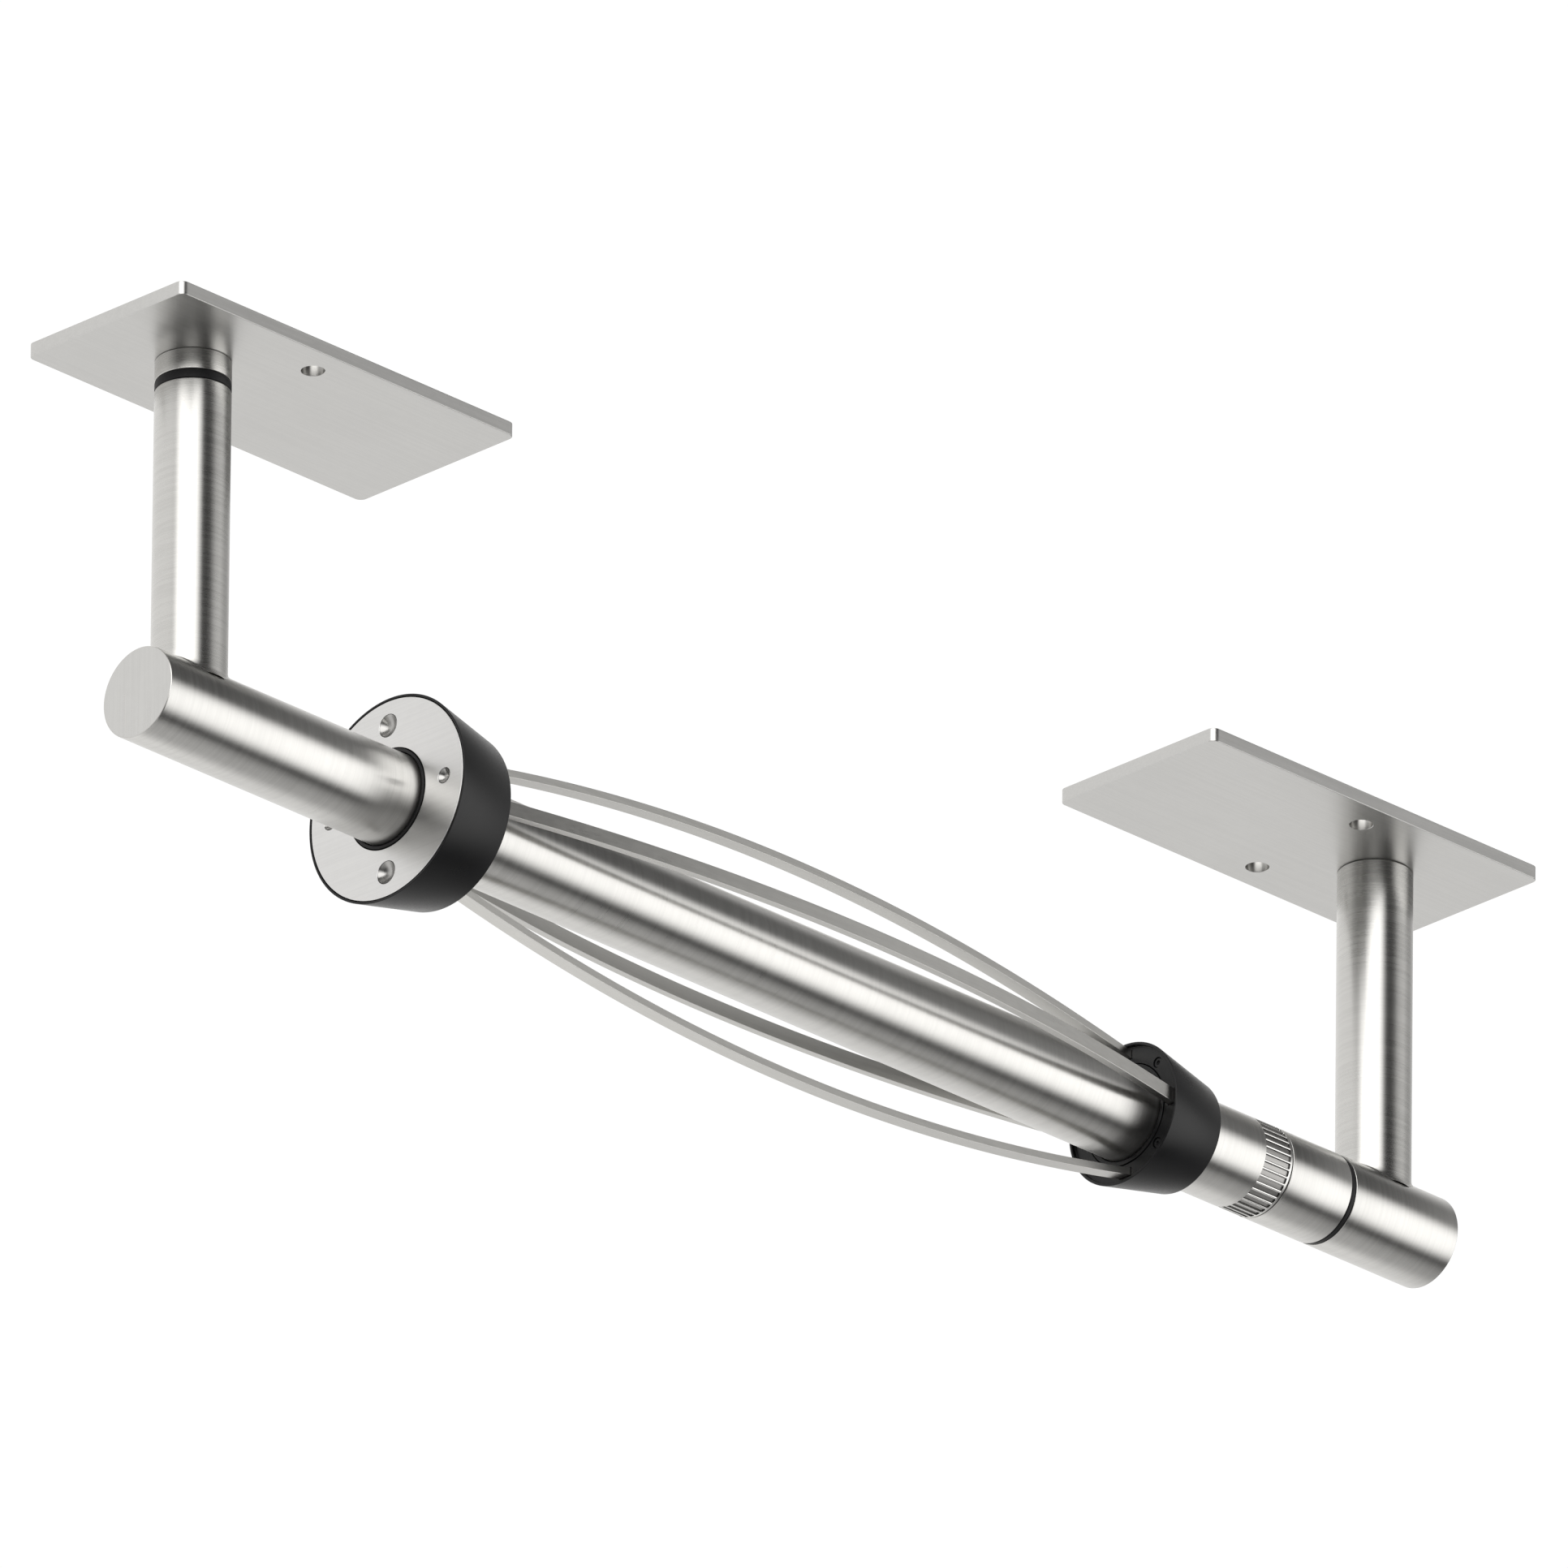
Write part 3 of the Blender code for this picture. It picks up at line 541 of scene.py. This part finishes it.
FLUTES = 38
FLUTE_START, FLUTE_END = 353.2 * MM, 362.1 * MM
FLUTE_DEPTH = 0.45 * MM
FLUTE_SHARE = 0.70  # of each pitch, the pocket between two ridges
FLUTE_LIP = 0.1 * MM  # how far a pocket's walls lean
RIDGE_POINTS = 9
RIDGE_DROP = 0.3  # how far a ridge's crown falls at its sides, as a share of the pocket's depth
LOCK_BORE = 9.8 * MM
LOCK_NEAR_EASE, LOCK_FAR_EASE = 0.2 * MM, 0.22 * MM


def lock_ring():
    """A plain ring with straight pockets sunk into a band of it, and rounded ridges between them."""
    low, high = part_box("lock_ring")
    pitch = 2 * pi / FLUTES
    ridge = pitch * (1 - FLUTE_SHARE)
    half = pitch * FLUTE_SHARE / 2
    outline = []
    for k in range(FLUTES):
        base = (k + 0.25) * pitch
        for j in range(RIDGE_POINTS):
            across = 2 * j / (RIDGE_POINTS - 1) - 1
            outline.append((base - half - ridge / 2 + across * ridge / 2, RIDGE_DROP * across ** 2))
        outline.append((base - half + FLUTE_LIP / TUBE_R, 1.0))
        for j in range(1, 4):
            outline.append((base - half + 2 * half * j / 4, 1.0))
        outline.append((base + half - FLUTE_LIP / TUBE_R, 1.0))
    bm = bmesh.new()

    def loop(x, radius, sunk=0.0):
        made = []
        for angle, deep in outline:
            r = radius - FLUTE_DEPTH * deep * sunk
            made.append(bm.verts.new((x, r * cos(angle), BAR_Z + r * sin(angle))))
        return made

    loops = [
        loop(low.x, LOCK_BORE),
        loop(low.x, TUBE_R - LOCK_NEAR_EASE),
        loop(low.x + LOCK_NEAR_EASE, TUBE_R),
        loop(FLUTE_START - 3 * FLUTE_LIP, TUBE_R),
        loop(FLUTE_START - FLUTE_LIP, TUBE_R),
        loop(FLUTE_START, TUBE_R, 1.0),
        loop(FLUTE_END, TUBE_R, 1.0),
        loop(FLUTE_END + FLUTE_LIP, TUBE_R),
        loop(FLUTE_END + 3 * FLUTE_LIP, TUBE_R),
        loop(high.x - LOCK_FAR_EASE, TUBE_R),
        loop(high.x - 0.07 * MM, TUBE_R - 0.06 * MM),
        loop(high.x, TUBE_R - LOCK_FAR_EASE),
        loop(high.x, LOCK_BORE),
    ]
    bridge(bm, loops + loops[:1])
    return finish_mesh("fluted_lock_ring", bm, flat_along="X")


# the fluted band's painted copies of the steel, a lighter one on the ridges as painted highlight and darker
# ones in the pockets as painted shade: how far they run past it, and how deep each one lies under the surface
BAND_MARGIN = 0.2 * MM
RIDGE_UNDER, WALL_UNDER, POCKET_UNDER = 0.18 * MM, 0.4 * MM, 0.5 * MM
lock = place(lock_ring(), "lock_ring", STEEL_X, "satin_steel", "lock_ring")
for steel in (RIDGE_HIGHLIGHT_STEEL, POCKET_SHADE_STEEL, POCKET_WALL_SHADE):
    lock.data.materials.append(steel)
for face in lock.data.polygons:
    under = TUBE_R - sqrt(face.center.y ** 2 + (face.center.z - BAR_Z) ** 2)
    in_band = FLUTE_START - BAND_MARGIN < face.center.x < FLUTE_END + BAND_MARGIN
    if not in_band or under >= POCKET_UNDER:
        continue
    # ridges: the lighter copy, a painted highlight
    if under < RIDGE_UNDER:
        face.material_index = 1
    # pocket floors: the darker copy, painted shade
    elif under > WALL_UNDER:
        face.material_index = 2
    # pocket walls: the near-black copy, a painted shadow line
    else:
        face.material_index = 3


# ---------------------------------------------------------------- left hub

STRIP_WIDTH, STRIP_THICK = 4.0 * MM, 2.1 * MM
STRIP_END_R, STRIP_PEAK_R = 16.65 * MM, 30.15 * MM  # from the spindle's axis to the strip's middle
SLOT_CLEAR = 0.2 * MM  # round a strip's end in its slot
WELL_ROUND = 32


def around(angle, radius):
    return (radius * cos(angle), BAR_Z + radius * sin(angle))


def slots(low, high):
    """Four box cutters between two stations, one for each strip's end."""
    tools = []
    for k in range(4):
        bm = bmesh.new()
        bmesh.ops.create_cube(bm, size=1.0)
        size = Vector((high - low, STRIP_WIDTH + 2 * SLOT_CLEAR, STRIP_THICK + 2 * SLOT_CLEAR))
        bmesh.ops.scale(bm, vec=size, verts=bm.verts)
        bmesh.ops.translate(bm, vec=((low + high) / 2, 0.0, STRIP_END_R), verts=bm.verts)
        turn = Matrix.Translation((0.0, 0.0, BAR_Z)) @ Matrix.Rotation(k * pi / 2, 4, "X")
        bmesh.ops.transform(bm, matrix=turn, verts=bm.verts)
        tools.append(bm)
    return tools


# each fixing in the disc is a head with a smooth round dish: name, head radius, shank radius
FIXINGS = (("face_pin_back", 2.15 * MM, 1.4 * MM), ("face_screw_top", 3.2 * MM, 1.9 * MM),
           ("face_pin_front", 2.15 * MM, 1.4 * MM), ("face_screw_bottom", 3.2 * MM, 1.9 * MM))
FIXING_CIRCLE = 20.8 * MM

hub_lo, hub_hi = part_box("left_hub")
face_lo, face_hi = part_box("hub_face_plate")
HUB_FACE, HUB_BACK = hub_lo.x, hub_hi.x
HUB_R = (hub_hi.z - hub_lo.z) / 2
HUB_BACK_R = 23.95 * MM
HUB_BORE = 12.9 * MM
HUB_SLOT = 6.2 * MM
SEAT_END, SEAT_R = 49.8 * MM, 15.5 * MM  # the hub's wider bore, which holds the bush
FACE_R = (face_hi.z - face_lo.z) / 2
RECESS_R = FACE_R + 0.25 * MM  # the shallow recess that the disc lies in
RECESS_FLOOR = face_hi.x + 0.3 * MM
DISC_BORE = 13.95 * MM
MOUTH_RIM = 0.08 * MM

hub_profile = [(HUB_FACE, HUB_R, 0.6), (HUB_BACK, HUB_BACK_R, 2.4), (HUB_BACK, HUB_BORE),
               (SEAT_END, HUB_BORE), (SEAT_END, SEAT_R), (RECESS_FLOOR, SEAT_R),
               (RECESS_FLOOR, RECESS_R), (HUB_FACE, RECESS_R, 0.6)]
hub = turned("cage_hub", hub_profile, ease=0.3 * MM)
hub_cutters = slots(HUB_BACK - HUB_SLOT, HUB_BACK + MM)
for k, (name, head, shank) in enumerate(FIXINGS):
    well = rod(HUB_FACE + MM, HUB_FACE + 11 * MM, shank)
    hub_cutters.append(spun(well, "X", around(k * pi / 2, FIXING_CIRCLE), WELL_ROUND))
carve(hub, merge(hub_cutters), "X")
place(hub, "spinner", BLACK, "black_plastic", "left_hub")

disc = turned("hub_face_disc", tube(face_lo.x, face_hi.x, FACE_R, DISC_BORE), ease=0.18 * MM)
mouths = []
for k, (name, head, shank) in enumerate(FIXINGS):
    x = face_lo.x
    mouth = [(x - MM, 0.0), (x - MM, head + MM + MOUTH_RIM), (x + MOUTH_RIM, head), (x + 3 * MM, head),
             (x + 3 * MM, 0.0)]
    mouths.append(spun(mouth, "X", around(k * pi / 2, FIXING_CIRCLE), SMALL_ROUND))
carve(disc, merge(mouths), "X")
place(disc, "spinner", FACE_STEEL, "satin_steel", "hub_face_plate")

DISH_DEPTH = 0.53  # of the head's radius
DISH_STEPS = 12
HEAD_PLAY = 0.16 * MM  # how much smaller a dish is than the mouth it sits in
HEAD_SUNK = 0.06 * MM
HEAD_RIM = 0.03 * MM
SHANK_PLAY = 0.2 * MM


def dished(name, head, shank, centre):
    """Round head whose face is a smooth bowl, on a plain shank."""
    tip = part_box(name)[1].x
    r, top, under = head - HEAD_PLAY, face_lo.x + HEAD_SUNK, face_hi.x
    deep = DISH_DEPTH * head
    bowl = []
    for k in range(DISH_STEPS + 1):
        bowl.append((top + deep * (1 - (k / DISH_STEPS) ** 2), r * k / DISH_STEPS, 0.0))
    stem = [(top + 0.05 * MM, r + HEAD_RIM, 0.0), (under, r + HEAD_RIM, 0.0),
            (under, shank - SHANK_PLAY, 0.0), (tip, shank - SHANK_PLAY, 1.0), (tip, 0.0)]
    return turned("dished_" + name, bowl + stem, centre=centre, count=SMALL_ROUND)


for k, (name, head, shank) in enumerate(FIXINGS):
    fixing = dished(name, head, shank, around(k * pi / 2, FIXING_CIRCLE))
    place(fixing, "spinner", HARDWARE, "turned_steel", name)

BUSH_BORE = 12.8 * MM
BUSH_R, BUSH_NECK_R = 15.2 * MM, 13.65 * MM
BUSH_SHOULDER = 45.4 * MM  # where the neck meets the wider part
bush_lo, bush_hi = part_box("left_bearing_bush")
bush = [(bush_hi.x, BUSH_R), (BUSH_SHOULDER, BUSH_R), (BUSH_SHOULDER, BUSH_NECK_R), (bush_lo.x, BUSH_NECK_R),
        (bush_lo.x, BUSH_BORE), (bush_hi.x, BUSH_BORE)]
place(turned("hub_bush", bush, ease=0.2 * MM), "spinner", SEAL, "black_plastic", "left_bearing_bush")

# ---------------------------------------------------------------- right hub

collar_lo, collar_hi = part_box("right_hub")
COLLAR_FACE, COLLAR_BACK = collar_lo.x, collar_hi.x
COLLAR_R = (collar_hi.z - collar_lo.z) / 2
COLLAR_FLOOR = COLLAR_FACE + 1.2 * MM
COLLAR_BACK_R = 15.35 * MM
COLLAR_BORE = 12.85 * MM
COLLAR_SLOT = 4.6 * MM
COLLAR_SEAT, COLLAR_SEAT_R = 321.0 * MM, 14.15 * MM  # the wider bore, which holds the end bush
CUP_R = 18.85 * MM
CUP_SCREW_CIRCLE = 16.2 * MM
CUP_SCREW_R, CUP_WELL_R = 1.3 * MM, 1.5 * MM
DRIVE_R, DRIVE_DEPTH = 0.6 * MM, 0.5 * MM  # the small round dimple in each screw's head
END_BUSH_R = 13.95 * MM

collar_profile = [(COLLAR_FACE, COLLAR_R, 1.5), (COLLAR_BACK, COLLAR_BACK_R, 2.4), (COLLAR_BACK, COLLAR_BORE),
                  (COLLAR_SEAT, COLLAR_BORE), (COLLAR_SEAT, COLLAR_SEAT_R), (COLLAR_FLOOR, COLLAR_SEAT_R),
                  (COLLAR_FLOOR, CUP_R), (COLLAR_FACE, CUP_R, 1.2)]
collar = turned("end_hub", collar_profile, ease=0.3 * MM)
collar_cutters = slots(COLLAR_FACE - MM, COLLAR_FLOOR + COLLAR_SLOT)
for k in range(4):
    well = rod(COLLAR_FACE, COLLAR_FLOOR + 4 * MM, CUP_WELL_R)
    collar_cutters.append(spun(well, "X", around(pi / 4 + k * pi / 2, CUP_SCREW_CIRCLE), WELL_ROUND))
carve(collar, merge(collar_cutters), "X")
place(collar, "end_collar", BLACK, "black_plastic", "right_hub")

for k in range(4):
    name = "right_hub_screw_%d" % (k + 1)
    low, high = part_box(name)
    centre = ((low.y + high.y) / 2, (low.z + high.z) / 2)
    stem = [(low.x + DRIVE_DEPTH, 0.0), (low.x + DRIVE_DEPTH, DRIVE_R), (low.x, DRIVE_R),
            (low.x, CUP_SCREW_R), (high.x, CUP_SCREW_R), (high.x, 0.0)]
    place(turned("end_" + name, stem, centre=centre, ease=0.12 * MM, count=40), "end_collar", SEAL,
          "turned_steel", name)

end_bush_lo, end_bush_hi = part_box("right_bearing_bush")
end_bush = tube(end_bush_lo.x, end_bush_hi.x, END_BUSH_R, BUSH_BORE)
place(turned("end_hub_bush", end_bush, ease=0.25 * MM), "end_collar", BLACK, "black_plastic",
      "right_bearing_bush")


# ---------------------------------------------------------------- bowed strips

STRIP_STEPS = 96
STRIP_EASE = 0.08 * MM
STRIP_KNEE = 2.0 * MM  # one more point this far inside each hub, so that a strip's end stays straight
STRIP_TAIL, STRIP_FAR_TAIL = 5.8 * MM, 4.2 * MM


def strip_path():
    """The strip's middle line as (station, radius): straight tails and a parabola between the hubs."""
    a, b = HUB_BACK, COLLAR_FLOOR
    middle, half = (a + b) / 2, (b - a) / 2
    path = [(a - STRIP_TAIL, STRIP_END_R), (a - STRIP_KNEE, STRIP_END_R)]
    for k in range(STRIP_STEPS + 1):
        x = a + (b - a) * k / STRIP_STEPS
        rise = 1 - ((x - middle) / half) ** 2
        path.append((x, STRIP_END_R + (STRIP_PEAK_R - STRIP_END_R) * rise))
    return path + [(b + STRIP_KNEE, STRIP_END_R), (b + STRIP_FAR_TAIL, STRIP_END_R)]


def strip(name, angle):
    ease = STRIP_EASE
    w, t = STRIP_WIDTH / 2, STRIP_THICK / 2
    section = []
    for sw, st, order in ((1, 1, 1), (-1, 1, -1), (-1, -1, 1), (1, -1, -1)):
        corner = [(sw * w, st * (t - ease)), (sw * (w - ease * 0.3), st * (t - ease * 0.3)),
                  (sw * (w - ease), st * t)]
        section += corner if order > 0 else corner[::-1]
    path = strip_path()
    bm = bmesh.new()
    loops = []
    for k, (x, r) in enumerate(path):
        before, after = path[max(k - 1, 0)], path[min(k + 1, len(path) - 1)]
        along = Vector((after[0] - before[0], after[1] - before[1])).normalized()
        if k in (0, len(path) - 1):
            along = Vector((1.0, 0.0))
        loops.append([bm.verts.new((x - along.y * v, u, BAR_Z + r + along.x * v)) for u, v in section])
    bridge(bm, loops)
    bm.faces.new(loops[0])
    bm.faces.new(loops[-1])
    turn = Matrix.Translation((0.0, 0.0, BAR_Z)) @ Matrix.Rotation(angle, 4, "X")
    bmesh.ops.transform(bm, matrix=turn @ Matrix.Translation((0.0, 0.0, -BAR_Z)), verts=bm.verts)
    return finish_mesh(name, bm)


for k, side in enumerate(("top", "front", "bottom", "back")):
    obj = strip("spring_strip_" + side, k * pi / 2)
    dress(obj, STRIP_STEEL)
    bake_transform(obj)
    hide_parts("strip_" + side)

# ---------------------------------------------------------------- carried-over inner parts

for node in ("pivot_screw", "pivot_nut", "right_post_plug", "right_post_screw", "cross_pin"):
    dress(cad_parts[node], UPRIGHT_HARDWARE)
for node in ("strike_bush", "hub_retaining_ring", "bolt_guide", "latch_bolt"):
    dress(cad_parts[node], HARDWARE)
dress(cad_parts["left_post_plug"], SEAL)

# ---------------------------------------------------------------- floor, light, camera

FLOOR_HALF = 6.0
FLOOR_MIDDLE = (0.19, 0.0, -14.0)
sheet = bmesh.new()
bmesh.ops.create_grid(sheet, x_segments=1, y_segments=1, size=FLOOR_HALF)
bmesh.ops.translate(sheet, vec=FLOOR_MIDDLE, verts=sheet.verts)
ground = finish_mesh("pale_floor", sheet)
paper = Surface("pale_floor")
paper.shader.inputs["Base Color"].default_value = (0.9, 0.9, 0.9, 1.0)
paper.shader.inputs["Roughness"].default_value = 0.9
dress(ground, paper.mat)
ground.visible_camera = False  # it lights the object, and never hides it from a camera below

# the camera stands in front on the left, below the holder, and looks up at it from far away
AIM = Vector((0.1874, 0.0, -0.0507))
VIEW_AZIMUTH, VIEW_ELEVATION, VIEW_ROLL = radians(225.2), radians(-24.9), radians(0.6)
LEVEL = Vector((-sin(VIEW_AZIMUTH), cos(VIEW_AZIMUTH), 0.0))
BACK = Vector((cos(VIEW_AZIMUTH) * cos(VIEW_ELEVATION), sin(VIEW_AZIMUTH) * cos(VIEW_ELEVATION),
               sin(VIEW_ELEVATION)))
RIGHT = LEVEL * cos(VIEW_ROLL) + BACK.cross(LEVEL) * sin(VIEW_ROLL)
UP = BACK.cross(RIGHT)
VIEW_WIDTH = 0.4059
DISTANCE = 19.0  # near enough that the side views, which step further back, stay inside the clip range
camera_data = bpy.data.cameras.new("camera")
camera_data.lens = 800.0
camera_data.sensor_width = camera_data.lens * VIEW_WIDTH / DISTANCE
camera_data.clip_start = 1.0
camera_data.clip_end = 80.0
camera = bpy.data.objects.new("camera", camera_data)
bpy.context.scene.collection.objects.link(camera)
turned_to_view = Matrix((RIGHT, UP, BACK)).transposed().to_4x4()
camera.matrix_world = Matrix.Translation(AIM + BACK * DISTANCE) @ turned_to_view
bpy.context.scene.camera = camera
bpy.context.scene.view_settings.view_transform = "Standard"


# the studio's soft cards: where the middle of each one stands (azimuth from +X towards +Y,
# and elevation), its radius and the softness of its edge, all in degrees, and its brightness
CARDS = (  # azimuth, elevation, radius, softness (degrees), brightness
    (105, 12, 76, 22, 0.95),  # pale wall behind
    (-50, -8, 25, 13, 1.85),  # front softbox
    (217, 25, 28, 13, 2.30),  # left front softbox
    (228, -6, 18, 10, 0.35),  # fill beside the camera
    (-8, 14, 30, 10, 0.38),  # grey card right front
    (31, -55, 26, 16, 0.46),  # dim floor
    (205, -56, 20, 12, 0.50),  # pale floor front left
    (40, 60, 28, 10, 0.22),  # dim ceiling
    (168, -22, 16, 12, -0.40),  # black flag on the left
)
ROOM_BRIGHTNESS = 0.045
PAPER_BRIGHTNESS = 1.02  # just past white, so that the picture's ground is clean


def studio_world():
    """White where the camera looks past the object, soft cards in a dim room for everything else."""
    world = bpy.data.worlds.new("studio")
    bpy.context.scene.world = world
    world.use_nodes = True
    n = Nodes(world.node_tree)
    n.tree.nodes.clear()
    look = n.new("ShaderNodeTexCoord").outputs["Generated"]
    total = ROOM_BRIGHTNESS
    for azimuth, elevation, radius, softness, brightness in CARDS:
        a, e = radians(azimuth), radians(elevation)
        toward = n.new("ShaderNodeVectorMath", operation="DOT_PRODUCT")
        n.link(look, toward.inputs[0])
        toward.inputs[1].default_value = (cos(a) * cos(e), sin(a) * cos(e), sin(e))
        rim, core = cos(radians(radius + softness)), cos(radians(radius - softness))
        total = n.math("ADD", n.ramp(toward.outputs["Value"], rim, core, 0.0, brightness), total)
    total = n.math("MAXIMUM", total, 0.0)  # the black flag never makes light negative
    room = n.new("ShaderNodeBackground")
    room.inputs["Color"].default_value = (1.0, 0.992, 0.98, 1.0)
    n.link(total, room.inputs["Strength"])
    paper = n.new("ShaderNodeBackground")
    paper.inputs["Color"].default_value = (1.0, 1.0, 1.0, 1.0)
    paper.inputs["Strength"].default_value = PAPER_BRIGHTNESS
    pick = n.new("ShaderNodeMixShader")
    n.link(n.new("ShaderNodeLightPath").outputs["Is Camera Ray"], pick.inputs[0])
    n.link(room.outputs[0], pick.inputs[1])
    n.link(paper.outputs[0], pick.inputs[2])
    n.link(pick.outputs[0], n.new("ShaderNodeOutputWorld").inputs["Surface"])


studio_world()

bpy.context.view_layer.update()
